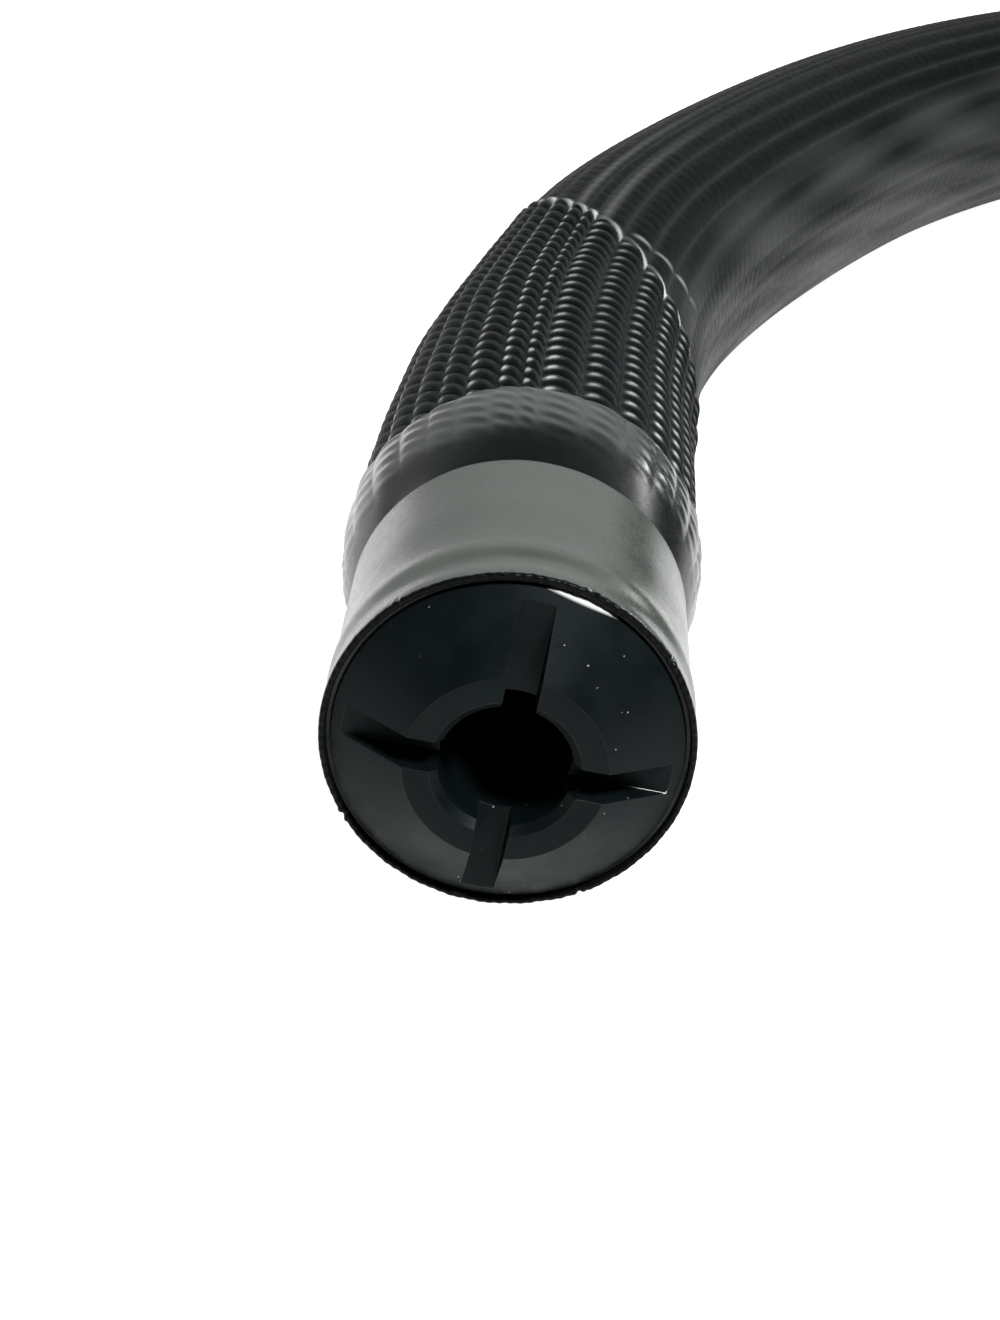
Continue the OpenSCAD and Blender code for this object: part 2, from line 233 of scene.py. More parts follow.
def wound(turn):
    """Radius and height of the hose in the coil, at a turning angle from its entry."""
    over = np.radians(90 * part_of(turn, CLIMB))
    up = (CUFF_Z - ROW_3) * part_of(turn, RISE)
    shift = part_of(turn, OUTWARD) - part_of(turn, INWARD)
    below = turn < CLIMB[0]
    radius = np.where(below, R_OUT + COLUMN_GAP * shift, R_IN + COLUMN_GAP * np.cos(over))
    height = np.where(
        below, ROW_1 + ROW_GAP * part_of(turn, LIFT), ROW_2 + ROW_GAP * np.sin(over) + up)
    return radius, height


def coil_points(turn):
    """The hose's centre at turning angles in the coil."""
    angle = np.radians(ENTRY_HEADING + turn)
    radius, height = wound(turn)
    return np.stack(
        [COIL_X - radius * np.cos(angle), COIL_Y + radius * np.sin(angle), height], axis=-1)


def hermite(t, width, start, end, slope_start, slope_end):
    """The cubic from start to end over a width, with these slopes at its ends."""
    return (
        (2 * t**3 - 3 * t**2 + 1) * start + (t**3 - 2 * t**2 + t) * width * slope_start
        + (3 * t**2 - 2 * t**3) * end + (t**3 - t**2) * width * slope_end)


def ease(x, stops):
    """A smooth curve through the stops, level beyond the first and the last."""
    xs, ys = np.array(stops, dtype=float).T
    slope = np.gradient(ys, xs)
    slope[[0, -1]] = 0
    x = np.clip(x, xs[0], xs[-1])
    i = np.clip(np.searchsorted(xs, x) - 1, 0, len(xs) - 2)
    width = xs[i + 1] - xs[i]
    t = (x - xs[i]) / width
    return hermite(t, width, ys[i], ys[i + 1], slope[i], slope[i + 1])


def bell(x, middle, width):
    """A smooth bump: 1 at the middle, about a third at a width from it."""
    return np.exp(-((x - middle) / width) ** 2)


def spline(points, step):
    """A smooth curve through the points, from the second to the last but one."""
    points = np.array(points)
    chord = np.r_[0, np.cumsum(np.linalg.norm(np.diff(points, axis=0), axis=1))]
    slope = np.gradient(points, chord, axis=0)
    at = np.arange(chord[1], chord[-2], step)
    i = np.clip(np.searchsorted(chord, at, side="right") - 1, 1, len(points) - 3)
    width = (chord[i + 1] - chord[i])[:, None]
    t = ((at - chord[i]) / width[:, 0])[:, None]
    return hermite(t, width, points[i], points[i + 1], slope[i], slope[i + 1])


def resample(points, step):
    """The same line with points about a step apart, and the length along it at each."""
    run = np.r_[0, np.cumsum(np.linalg.norm(np.diff(points, axis=0), axis=1))]
    at = np.linspace(0, run[-1], int(run[-1] / step) + 1)
    return np.stack([np.interp(at, run, points[:, k]) for k in range(3)], axis=1), at


LINE_STEP = 1 * MM
SMOOTH_STEPS = 30


def smoothed(points):
    """The line with each point at the mean of its neighbours, and its ends left in place."""
    reach = SMOOTH_STEPS
    first, last = points[[0, -1]]
    padded = np.vstack([
        2 * first - points[reach:0:-1], points, 2 * last - points[-2:-reach - 2:-1]])
    sums = np.cumsum(np.vstack([np.zeros(3), padded]), axis=0)
    return (sums[2 * reach + 1:] - sums[:-2 * reach - 1]) / (2 * reach + 1)


class Line:
    """The hose's centreline, with a sideways and an upward unit vector at each place.

    s is the length along the hose from the rim, in metres."""

    def __init__(self):
        lead_in = [[0, SLEEVE_END - 20 * MM, 0], [0, SLEEVE_END, 0]]
        coil_start = coil_points(np.array([0.0, 6.0]))
        way_in = spline(np.vstack([lead_in, ROUTE, coil_start]), LINE_STEP)
        turns = coil_points(np.arange(0, RISE[1] + 0.25, 0.25))
        stop = FAR_RIM - [0, SLEEVE_END, 0]
        points, _ = resample(np.vstack([way_in, turns, stop]), LINE_STEP)
        points = smoothed(smoothed(points))
        self.points, self.s = resample(points, LINE_STEP)
        self.s = self.s + SLEEVE_END
        along = np.gradient(self.points, axis=0)
        self.along = along / np.linalg.norm(along, axis=1)[:, None]
        side = np.stack(
            [self.along[:, 1], -self.along[:, 0], np.zeros(len(along))], axis=1)
        self.side = side / np.linalg.norm(side, axis=1)[:, None]
        self.up = np.cross(self.side, self.along)

    def at(self, s):
        """Centre, side and up at each s; straight along the ends beyond the hose."""
        inside = np.clip(s, self.s[0], self.s[-1])
        points, along, side, up = (
            np.stack([np.interp(inside, self.s, of[:, k]) for k in range(3)], axis=1)
            for of in (self.points, self.along, self.side, self.up))
        return points + (s - inside)[:, None] * along, side, up


line = Line()
HOSE_END = line.s[-1]


# ---------------------------------------------------------------- mesh building

def add_piece(name, verts, faces, material, body="root", smooth=True, values=()):
    """A mesh object in the row frame; values are (name, numbers per vertex) pairs."""
    mesh = bpy.data.meshes.new(name)
    mesh.from_pydata(np.asarray(verts).tolist(), [], np.asarray(faces).tolist())
    mesh.update()
    if smooth:
        mesh.polygons.foreach_set("use_smooth", [True] * len(mesh.polygons))
    for label, numbers in values:
        layer = mesh.attributes.new(label, "FLOAT", "POINT")
        layer.data.foreach_set("value", np.asarray(numbers, dtype=np.float32).ravel())
    mesh.materials.append(material)
    piece = bpy.data.objects.new(name, mesh)
    bpy.context.collection.objects.link(piece)
    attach(piece, body)
    return piece


def grid_faces(rows, columns, wrap_rows=False, wrap_columns=True):
    """Quads over a grid of rows by columns, wrapped round where asked."""
    i = np.arange(rows if wrap_rows else rows - 1)
    j = np.arange(columns if wrap_columns else columns - 1)
    i, j = np.meshgrid(i, j, indexing="ij")
    up, right = (i + 1) % rows, (j + 1) % columns
    quads = [i * columns + j, up * columns + j, up * columns + right, i * columns + right]
    return np.stack(quads, axis=-1).reshape(-1, 4)


def round_line(s, a, radius):
    """Points at radius round the hose's line: s by rows, a (radians) by columns."""
    centre, side, up = line.at(s)
    around = np.cos(a)[None, :, None] * side[:, None] + np.sin(a)[None, :, None] * up[:, None]
    return centre[:, None] + radius[..., None] * around


# ---------------------------------------------------------------- materials

def plain(name, color, roughness, **sockets):
    """A principled material; sockets give further constants by socket name."""
    material = bpy.data.materials.new(name)
    material.use_nodes = True
    shader = material.node_tree.nodes["Principled BSDF"]
    shader.inputs["Base Color"].default_value = (*color, 1)
    shader.inputs["Roughness"].default_value = roughness
    for key, value in sockets.items():
        shader.inputs[key.replace("_", " ")].default_value = value
    return material


class Nodes:
    """Short calls for building one material's node tree."""

    def __init__(self, tree, shader=None):
        self.tree = tree
        self.shader = shader or tree.nodes["Principled BSDF"]
        where = self.add("ShaderNodeTexCoord")
        self.place = where.outputs["Object"]
        self.generated = where.outputs["Generated"]

    def add(self, kind, **settings):
        node = self.tree.nodes.new(kind)
        for key, value in settings.items():
            setattr(node, key, value)
        return node

    def link(self, source, target):
        self.tree.links.new(source, target)

    def value(self, name):
        """A value stored in the mesh."""
        return self.add("ShaderNodeAttribute", attribute_name=name).outputs["Fac"]

    def split(self, vector):
        node = self.add("ShaderNodeSeparateXYZ")
        self.link(vector, node.inputs[0])
        return node.outputs

    def math(self, operation, a, b=0.0, clamp=False):
        node = self.add("ShaderNodeMath", operation=operation, use_clamp=clamp)
        for socket, x in zip(node.inputs, (a, b)):
            if isinstance(x, (int, float)):
                socket.default_value = x
            else:
                self.link(x, socket)
        return node.outputs[0]

    def noise(self, scale, detail=3.0, stretch=None):
        """Noise over the object's own coordinates, which are in metres."""
        node = self.add("ShaderNodeTexNoise")
        node.inputs["Scale"].default_value = scale
        node.inputs["Detail"].default_value = detail
        place = self.place
        if stretch:
            mapping = self.add("ShaderNodeMapping")
            mapping.inputs["Scale"].default_value = stretch
            self.link(place, mapping.inputs["Vector"])
            place = mapping.outputs[0]
        self.link(place, node.inputs["Vector"])
        return node.outputs["Fac"]

    def spread(self, x, low, high, to_low, to_high):
        """Carries x from one range to another."""
        node = self.add("ShaderNodeMapRange")
        for key, v in (("From Min", low), ("From Max", high), ("To Min", to_low),
                       ("To Max", to_high)):
            node.inputs[key].default_value = v
        self.link(x, node.inputs["Value"])
        return node.outputs[0]

    def cloudy(self, noise, to_low, to_high):
        """A noise's usual range, spread between two limits."""
        return self.spread(noise, 0.3, 0.7, to_low, to_high)

    def mix(self, factor, a, b):
        """A colour between a and b; each is a socket or a triple."""
        node = self.add("ShaderNodeMix", data_type="RGBA")
        self.link(factor, node.inputs["Factor"])
        for socket, x in ((node.inputs[6], a), (node.inputs[7], b)):
            if isinstance(x, tuple):
                socket.default_value = (*x, 1)
            else:
                self.link(x, socket)
        return node.outputs[2]

    def bump(self, height, distance, strength=1.0, under=None):
        node = self.add("ShaderNodeBump")
        node.inputs["Distance"].default_value = distance
        node.inputs["Strength"].default_value = strength
        self.link(height, node.inputs["Height"])
        if under:
            self.link(under, node.inputs["Normal"])
        return node.outputs[0]

    def finish(self, color=None, roughness=None, normal=None):
        """Links what is given to the shader."""
        for key, x in (("Base Color", color), ("Roughness", roughness), ("Normal", normal)):
            if x is not None:
                self.link(x, self.shader.inputs[key])


def shaded(color, share):
    """A darker or lighter colour."""
    return tuple(share * c for c in color)


def specks(n, scale, size):
    """1 on a thin scatter of small dust specks, 0 elsewhere."""
    cells = n.add("ShaderNodeTexVoronoi", feature="F1")
    cells.inputs["Scale"].default_value = scale
    cells.inputs["Randomness"].default_value = 1.0
    n.link(n.place, cells.inputs["Vector"])
    area = n.math("GREATER_THAN", n.noise(scale * 0.08, 1.0), 0.47)
    few = n.math("GREATER_THAN", n.noise(scale * 0.9, 1.0), 0.64)
    near = n.math("LESS_THAN", cells.outputs["Distance"], size)
    return n.math("MULTIPLY", n.math("MULTIPLY", area, few), near)


# Where the plug's rim has a painted highlight, and the slots' turn, width and depth, as in the
# CAD
RIM_GLINT = 72
SLOT_TURN = -4
SLOT_W = 4.3 * MM
SLOT_FLOOR = -1 * MM
# The pale grey of the painted highlights on the plug
PAINTED_HIGHLIGHT_GREY = (0.50, 0.53, 0.51)


def toward(n, degrees):
    """How far a place is from the hose's axis in one direction, seen from the front."""
    x, _, z = n.split(n.place)
    angle = math.radians(degrees)
    return n.math("ADD", n.math("MULTIPLY", x, math.cos(angle)),
                  n.math("MULTIPLY", z, math.sin(angle)))


def painted_rim_highlight(n):
    """1 on a sliver of the plug's rim, upper right, where a highlight is painted."""
    return n.spread(toward(n, RIM_GLINT), 0.976 * PLUG_R, 0.990 * PLUG_R, 0.0, 1.0)


def painted_slot_highlight(n):
    """1 on the lower corner of the right-hand slot's floor, where a highlight is painted."""
    out, down = toward(n, SLOT_TURN), toward(n, SLOT_TURN - 90)
    _, depth, _ = n.split(n.place)
    length = n.math("MULTIPLY", n.spread(out, 0.64 * PLUG_R, 0.80 * PLUG_R, 0.0, 1.0),
                    n.math("LESS_THAN", out, 0.96 * PLUG_R))
    width = n.math("MULTIPLY", n.math("GREATER_THAN", down, SLOT_W / 2 - 0.3 * MM),
                   n.math("LESS_THAN", down, SLOT_W / 2 + 0.6 * MM))
    on_floor = n.math("GREATER_THAN", depth, SLOT_FLOOR - 0.25 * MM)
    return n.math("MULTIPLY", n.math("MULTIPLY", length, width), on_floor)


def polished_edge(name, on_plug=False):
    """The rounded edges of the hard pieces; on the plug they are a shade paler than its faces,
    as a faint painted highlight.
    """
    # The plug's edges are a shade paler than the plug, as a faint painted highlight
    dark = (0.0025, 0.0036, 0.0038) if on_plug else (0.005, 0.007, 0.007)
    material = plain(name, dark, 0.28, Specular_IOR_Level=0.14 if on_plug else 0.35)
    n = Nodes(material.node_tree)
    tint = None
    if on_plug:
        # Painted highlights: a pale sliver on the rim and a pale line along the right-hand slot
        tint = n.mix(n.math("ADD", painted_rim_highlight(n), painted_slot_highlight(n), True), dark, PAINTED_HIGHLIGHT_GREY)
    n.finish(tint, n.cloudy(n.noise(300), 0.24, 0.38))
    return material


def black_plastic(name, color=(0.0014, 0.0026, 0.0030), on_plug=False):
    """Satin moulded plastic; the plug's has specks of dust and a painted highlight on its rim
    too.
    """
    material = plain(name, color, 0.42, Specular_IOR_Level=0.08,
                     Specular_Tint=(0.86, 1.0, 0.98, 1))
    n = Nodes(material.node_tree)
    cloud = n.noise(160, 4.0)
    rough = n.cloudy(cloud, 0.34, 0.52)
    normal = n.bump(n.noise(2600, 2.0), 0.03 * MM, 0.5)
    tint = n.mix(n.spread(cloud, 0.35, 0.75, 0.0, 1.0), color, shaded(color, 1.6))
    if on_plug:
        tint = n.mix(specks(n, 900, 0.12), tint, (0.25, 0.25, 0.24))
        # Painted highlight: a pale sliver on the plug's rim
        tint = n.mix(painted_rim_highlight(n), tint, PAINTED_HIGHLIGHT_GREY)
    n.finish(tint, rough, normal)
    return material


def sleeve_plastic(name, color, low, high):
    """Satin shrink sleeve with scuffs. low and high are its roughness limits, and cut is 1
    where it is matt and painted near black, as painted shade."""
    material = plain(name, color, low, Specular_IOR_Level=0.8,
                     Specular_Tint=(0.95, 1.0, 0.94, 1))
    n = Nodes(material.node_tree)
    cloud = n.noise(90, 5.0)
    haze = n.noise(900, 3.0)
    scratch = n.noise(600, 2.0, stretch=(0.3, 1.0, 0.3))
    marks = n.math("MULTIPLY", n.math("GREATER_THAN", scratch, 0.70),
                   n.math("GREATER_THAN", n.noise(60, 1.0), 0.58))
    tint = n.mix(n.cloudy(cloud, 0.0, 1.0), shaded(color, 0.86), shaded(color, 1.18))
    tint = n.mix(marks, tint, shaded(color, 0.35))
    cut = n.value("cut")
    # Painted shade: near black where cut is 1
    tint = n.mix(cut, tint, (0.003, 0.0035, 0.0035))
    rough = n.math("ADD", n.spread(cloud, 0.25, 0.75, low, high), n.cloudy(haze, -0.03, 0.03))
    n.link(n.spread(cut, 0.0, 1.0, 0.8, 0.05), n.shader.inputs["Specular IOR Level"])
    normal = n.bump(haze, 0.01 * MM, 0.3)
    normal = n.bump(n.noise(70, 0.0), 0.25 * MM, 0.6, under=normal)
    n.finish(tint, rough, normal)
    return material


def woven(name, cords_in_bump):
    """The jacket's yarn. along is in millimetres, across runs from -1 to 1 over a rib,
    valley is 1 in the grooves, lift is 1 on top of a cord, and wear_and_painted_light is 1
    on pale lines of wear and on painted highlights and sheen."""
    # The yarn's colour, and the paler colour painted on its cords' tops as painted light
    yarn, painted_crest_light = (0.0010, 0.0018, 0.0022), (0.0060, 0.0085, 0.0085)
    # fold is the pale colour of the lines of wear and of the painted highlights and sheen
    painted_groove_sheen, fold = (0.009, 0.012, 0.012), (0.60, 0.63, 0.60)
    material = plain(name, yarn, 0.55, Specular_IOR_Level=0.075,
                     Specular_Tint=(0.88, 1.0, 1.0, 1))
    n = Nodes(material.node_tree)
    along, across, wear_and_painted_light = (n.value(key) for key in ("along", "across", "wear_and_painted_light"))
    valley = n.value("valley")
    cloud = n.noise(120, 3.0)
    fine = n.math("SINE", n.math("MULTIPLY", along, FULL_TURN / FILAMENT_PITCH))
    normal = n.bump(fine, 0.02 * MM, 0.5)
    if cords_in_bump:
        wave = n.math("SINE", n.math(
            "SUBTRACT", n.math("MULTIPLY", along, FULL_TURN / CORD_PITCH),
            n.math("MULTIPLY", across, 2.8)))
        height = n.math("MULTIPLY", wave, n.math("SUBTRACT", 1.0, valley))
        normal = n.bump(height, 0.3 * MM, 0.8, under=normal)
        lift = n.spread(height, 0.3, 1.0, 0.0, 1.0)
    else:
        raised = n.value("lift")
        lift = n.spread(raised, 0.90, 1.0, 0.0, 1.0)
        n.link(n.spread(raised, 0.05, 0.95, 0.05, 0.10), n.shader.inputs["Specular IOR Level"])
    lift = n.math("MULTIPLY", lift, n.spread(n.noise(90, 2.0), 0.35, 0.65, 0.25, 1.0), True)
    # The cords' tops are painted paler, as painted light
    tint = n.mix(lift, yarn, painted_crest_light)
    # The grooves are painted paler, as painted sheen
    tint = n.mix(n.math("MULTIPLY", valley, n.cloudy(cloud, 0.4, 1.0), True), tint, painted_groove_sheen)
    # Pale lines of wear, painted highlights and painted sheen
    tint = n.mix(wear_and_painted_light, tint, fold)
    shiny = n.spread(wear_and_painted_light, 0.0, 0.3, 0.0, -0.32)
    rough = n.math("ADD", n.cloudy(n.noise(700, 2.0), 0.50, 0.60), shiny)
    n.finish(tint, rough, normal)
    return material


def steel():
    """Brushed steel, for the bands and wires inside the ends."""
    material = plain("band_steel", (0.58, 0.58, 0.57), 0.3, Metallic=1.0)
    n = Nodes(material.node_tree)
    grain = n.noise(500, 3.0, stretch=(1.0, 0.05, 1.0))
    n.finish(roughness=n.cloudy(grain, 0.24, 0.42))
    return material


def soft_rubber(name, color):
    """A dull, slightly grained rubber or soft plastic."""
    material = plain(name, color, 0.62, Specular_IOR_Level=0.35)
    n = Nodes(material.node_tree)
    cloud = n.noise(240, 4.0)
    tint = n.mix(n.cloudy(cloud, 0.0, 1.0), shaded(color, 0.8), shaded(color, 1.3))
    normal = n.bump(n.noise(3000, 2.0), 0.03 * MM, 0.6)
    n.finish(tint, n.cloudy(cloud, 0.52, 0.72), normal)
    return material


def webbing():
    """The straps' woven tape. along and across are in millimetres."""
    material = plain("webbing", (0.009, 0.009, 0.010), 0.7, Sheen_Weight=0.1)
    n = Nodes(material.node_tree)
    along, across = n.value("along"), n.value("across")
    picks = n.math("SINE", n.math(
        "ADD", n.math("MULTIPLY", along, FULL_TURN / PICK_PITCH),
        n.math("MULTIPLY", across, FULL_TURN / STRAP_RIB_PITCH)))
    cloud = n.noise(200, 3.0)
    tint = n.mix(n.cloudy(cloud, 0.0, 1.0), (0.006, 0.006, 0.007), (0.015, 0.015, 0.017))
    n.finish(tint, n.cloudy(cloud, 0.6, 0.8), n.bump(picks, 0.12 * MM, 0.8))
    return material


# ---------------------------------------------------------------- the woven jacket

# The ribs' widths in degrees, which repeat four times round the hose, the first's place, and
# the depth in millimetres of the grooves beside a wide rib, before and past the crease
RIB_WIDTHS = (13, 15, 15, 6, 8.5, 11.5, 10, 11)
FIRST_RIB = 49
WIDE_RIB = 14
RIB_DEPTH, FLAT_RIB_DEPTH = 1.35, 0.32

# Distances along the hose between its cords and between their filaments, in millimetres
CORD_PITCH = 4.3
FILAMENT_PITCH = 0.55

# Outer radius of the jacket along the hose, in millimetres
CREST = [(43, 24.6), (60, 25.6), (78, 25.8), (96, 25.4), (115, 25.2), (144, 24.2),
         (192, 24.5), (300, 24.9), (420, 25.0)]

# The crease's place on the hose's right side in millimetres, how far it runs on per degree
# round the hose, the angle where it turns back, and where the short fold branches off it
CREASE_START, CREASE_SLANT = 109, 0.5
CREASE_TOP = 150
FOLD_AT = 85
# The angles of two pale streaks of painted sheen past the crease
STREAKS = (103, 88)

# Where the weave's fine and middling relief end along the hose, in metres, and the distance
# between the rows of the rest
FINE_END = 0.204
MID_END = 0.460
ROW_STEP = 16 * MM


def rib_layout():
    """The angle where each rib starts, and its width, in degrees."""
    widths = np.array(RIB_WIDTHS * 4, dtype=float)
    starts = FIRST_RIB + np.r_[0, np.cumsum(widths)[:-1]]
    return starts, widths


RIB_STARTS, RIB_SPANS = rib_layout()


def rib_angles(per_rib, per_thin_rib):
    """Angles in radians, closer together beside the grooves."""
    out = []
    for start, span in zip(RIB_STARTS, RIB_SPANS):
        count = per_rib if span > 8 else per_thin_rib
        x = np.arange(count) / count
        out.append(start + span * (x - 0.08 * np.sin(FULL_TURN * x)))
    return np.radians(np.concatenate(out))


def rib_coordinates(a):
    """Each angle's rib number, its place across that rib from -1 to 1, and its width."""
    degrees = (np.degrees(a) - FIRST_RIB) % 360 + FIRST_RIB
    k = np.clip(np.searchsorted(RIB_STARTS, degrees + 1e-6, side="right") - 1, 0, None)
    x = 2 * (degrees - RIB_STARTS[k]) / RIB_SPANS[k] - 1
    return k, np.clip(x, -1, 1), RIB_SPANS[k]


def from_right(degrees):
    """Degrees round the hose from its right side, from -90 to 270."""
    return (degrees + 90) % 360 - 90


def rib_tip(x):
    """The round end of a rib, over its width."""
    return np.sqrt(1 - 0.96 * x * x)


def crease_line(turn, x, span):
    """Where the jacket folds, in millimetres along the hose: a slant round the bend, with
    a round tip on each rib."""
    slant = np.where(turn < CREASE_TOP, turn, CREASE_TOP - (turn - CREASE_TOP) * 2.5)
    return CREASE_START + CREASE_SLANT * slant + 0.22 * span * (rib_tip(x) - 0.6)


def fold_relief(beyond, past):
    """Height round the crease: the ribs swell up to it, a ridge stands on it, and the jacket
    dips after it."""
    swell = 0.5 * bell(beyond, 0, 9) * (1 - past)
    dip = -0.6 * np.exp(-np.abs(beyond) / 5) * past
    ridge = 0.42 * bell(beyond, 1.9, 0.8)
    return swell + dip + ridge


def crease_wear_and_highlight(k, x, degrees, beyond):
    """The pale line on the crease, part wear and part painted highlight, strongest on each
    rib's right side and, as painted highlight, on top.
    """
    right_side = smoothstep(0.45 - 0.6 * x)
    width = 0.55 + 0.8 * right_side ** 2
    line = bell(beyond, 1.3 + 0.4 * width, width)
    upper = smoothstep((np.abs((degrees - 80) % 360 - 180) - 60) / 40)
    uneven = 0.75 + 0.25 * np.sin(2.3 * k + 1.0)
    return line * (0.12 + 0.88 * right_side ** 2) * uneven * (0.25 + 0.75 * upper)


def pale_fold_line(x, span, turn, mm):
    """A short, faint pale line on a fold that branches off the crease over the ribs on the
    right.
    """
    fold = CREASE_START + CREASE_SLANT * FOLD_AT + 0.10 * (turn - FOLD_AT)
    beyond = mm - fold - 0.12 * span * rib_tip(x)
    reach = smoothstep((turn - 28) / 14) * smoothstep((75 - turn) / 6)
    return 0.34 * reach * (1 - x * x) * bell(beyond, 0, 0.75)


def flank_sheen(x, degrees, turn, mm, beyond, low_right):
    """Past the crease, painted sheen: pale grooves, pale clouds on the lower right, and two
    streaks.
    """
    grooves = 0.016 * (1 - 0.8 * low_right) * np.abs(x) ** 5
    wave = np.sin(0.07 * mm + 1.9 * np.sin(0.09 * turn) + 0.6) * np.sin(0.2 * turn + 0.03 * mm)
    clouds = low_right * (0.016 + 0.06 * (0.5 + 0.5 * wave))
    streaks = sum(0.10 * bell(degrees, at, 2.2) * bell(beyond, 0, 70) for at in STREAKS)
    return grooves + clouds + streaks


def tuck_highlight(k, x, mm):
    """Painted highlights on tucks in the grooves beside the long sleeve."""
    return 0.5 * bell(mm, 59, 1.3) * np.abs(x) ** 12 * (0.5 + 0.5 * np.sin(1.9 * k + 0.6))


def float_highlight(k, x, degrees, mm, phase):
    """A painted highlight on a shiny float low on each cord, brightest on top of the hose near
    the sleeve, where the light falls.
    """
    lit = (0.3 + 0.7 * bell(degrees, 92, 20)) * (1 + 0.6 * bell(mm, 68, 14))
    tail = np.where(x > 0.62, 0.17, 0.24)
    spot = bell(phase - np.floor(phase), 0.42, 0.10) * bell(x, 0.62, tail)
    return 2.0 * lit * spot * (0.62 + 0.38 * np.sin(37.7 * np.floor(phase) + 5.1 * k))


def jacket(s, a, cord_height):
    """Radius in metres of the jacket's outside over s by a, and what its yarn needs."""
    k, x, span = (part[None] for part in rib_coordinates(a))
    mm = s[:, None] / MM
    degrees = np.degrees(a)[None]
    turn = from_right(degrees)
    beyond = mm - crease_line(turn, x, span)
    past = smoothstep((beyond + 0.5) / 1.4)
    low_right = smoothstep((60 - turn) / 34) * smoothstep((turn + 60) / 40)
    phase = mm / CORD_PITCH - 0.45 * x + 0.31 * np.sin(2.4 * k)
    cord = np.sqrt(np.clip(1 - (2 * (phase - np.floor(phase)) - 1) ** 2, 0, 1))
    cords = cord_height * (cord - 1) * (1 - 0.8 * past) * (1 - np.abs(x) ** 6)
    arch = (1 - np.abs(x) ** 2.6) ** 1.2
    narrow = np.sqrt(span / WIDE_RIB) * (1 - 0.4 * smoothstep((degrees - 108) / 30))
    depth = narrow * (RIB_DEPTH * (1 - past) + FLAT_RIB_DEPTH * past)
    radius = ease(mm, CREST) - depth * (1 - arch) + cords + fold_relief(beyond, past)
    # Pale marks: the crease's line is wear and painted highlight, the fold's line is pale, the
    # tucks and cord floats are painted highlights, and the flanks past the crease painted sheen
    wear_and_painted_light = (
        crease_wear_and_highlight(k, x, degrees, beyond) + tuck_highlight(k, x, mm)
        + past * pale_fold_line(x, span, turn, mm)
        + past * flank_sheen(x, degrees, turn, mm, beyond, low_right)
        + (1 - past) * float_highlight(k, x, degrees, mm, phase))
    valley = np.abs(x) ** 3 * (1 - 0.7 * past * low_right)
    return radius * MM, (("wear_and_painted_light", np.clip(wear_and_painted_light, 0, 1)), ("lift", cord * (1 - 0.95 * past)),
                         ("across", x + 0 * radius), ("valley", valley))


def jacket_piece(name, s, angles, cord_height, material, sunk=0.0):
    """The jacket over the rows s, drawn in by sunk metres."""
    radius, values = jacket(s, angles, cord_height)
    radius = radius - np.reshape(sunk, (-1, 1))
    verts = round_line(s, angles, radius).reshape(-1, 3)
    along = np.broadcast_to(s[:, None] / MM, radius.shape)
    return add_piece(name, verts, grid_faces(*radius.shape), material,
                     values=(("along", along), *values))


def add_weave(material):
    """Four stretches that cover the hose's visible end with its cords in relief."""
    fine, middle = rib_angles(12, 8), rib_angles(8, 6)
    tucked = SLEEVE_END - 2.5 * MM
    stretches = [
        (tucked, 0.130, 0.45 * MM, fine, 0.95), (0.130, FINE_END, 0.45 * MM, fine, 0.95),
        (FINE_END, 0.332, 0.9 * MM, middle, 0.55), (0.332, MID_END, 0.9 * MM, middle, 0.55)]
    pieces = []
    for i, (start, stop, step, angles, cord_height) in enumerate(stretches):
        s = np.linspace(start, stop, int(round((stop - start) / step)) + 1)
        pieces.append(jacket_piece(f"jacket_weave_{i + 1}", s, angles, cord_height, material))
    return pieces


def hose_rows():
    """The hose's rows along its line, closer where the weave in relief ends."""
    s = np.arange(SLEEVE_END, HOSE_END, ROW_STEP)
    s = np.r_[s[:-1], np.linspace(s[-1], HOSE_END, 3)]
    close = MID_END - np.array([10, 4, 1]) * MM
    return np.sort(np.r_[s[s < MID_END - 12 * MM], close, s[s > MID_END + 2 * MM]])


def add_hose():
    """The whole hose as one cord, with the weave in full relief over its visible end."""
    near_yarn = woven("woven_jacket_near", False)
    far_yarn = woven("woven_jacket", True)
    pieces = add_weave(near_yarn)
    s = hose_rows()
    sunk = 1.9 * MM * (s < MID_END - 5 * MM)
    hose = jacket_piece("hose_jacket", s, rib_angles(6, 6), 0.0, far_yarn, sunk)
    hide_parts("hose_tube", "hose_coil", "hose_tail")
    return hose, pieces, line.at(s)[0]


# ---------------------------------------------------------------- the end sleeves

def wobble(a, orders, size, seed):
    """A smooth closed random wave round the angles a, about size high."""
    draw = np.random.default_rng(seed)
    total = np.zeros_like(a)
    for order in orders:
        total += draw.normal() * np.cos(order * a + draw.uniform(0, FULL_TURN))
    return size * total / math.sqrt(len(orders))


def near_end(s, a, radius):
    """Points at s from the rim and at radius round the hose's near end."""
    return np.stack([radius * np.cos(a), s, radius * np.sin(a)], axis=-1)


def far_end(s, a, radius):
    """The same at the far end, where s runs back from the far rim."""
    x, y, z = FAR_RIM
    return np.stack([x + radius * np.cos(a), y - s, z + radius * np.sin(a)], axis=-1)


def turned_piece(name, s, radius, a, place, material, values=()):
    """A closed ring at either end, from s and radius (points of its outline by angles)."""
    verts = place(s, np.broadcast_to(a, radius.shape), radius).reshape(-1, 3)
    faces = grid_faces(*radius.shape, wrap_rows=True)
    if place is far_end:
        faces = faces[:, ::-1]
    return add_piece(name, verts, faces, material, values=values)


SLEEVE_ANGLES = np.radians(np.arange(0, 360, 0.6))

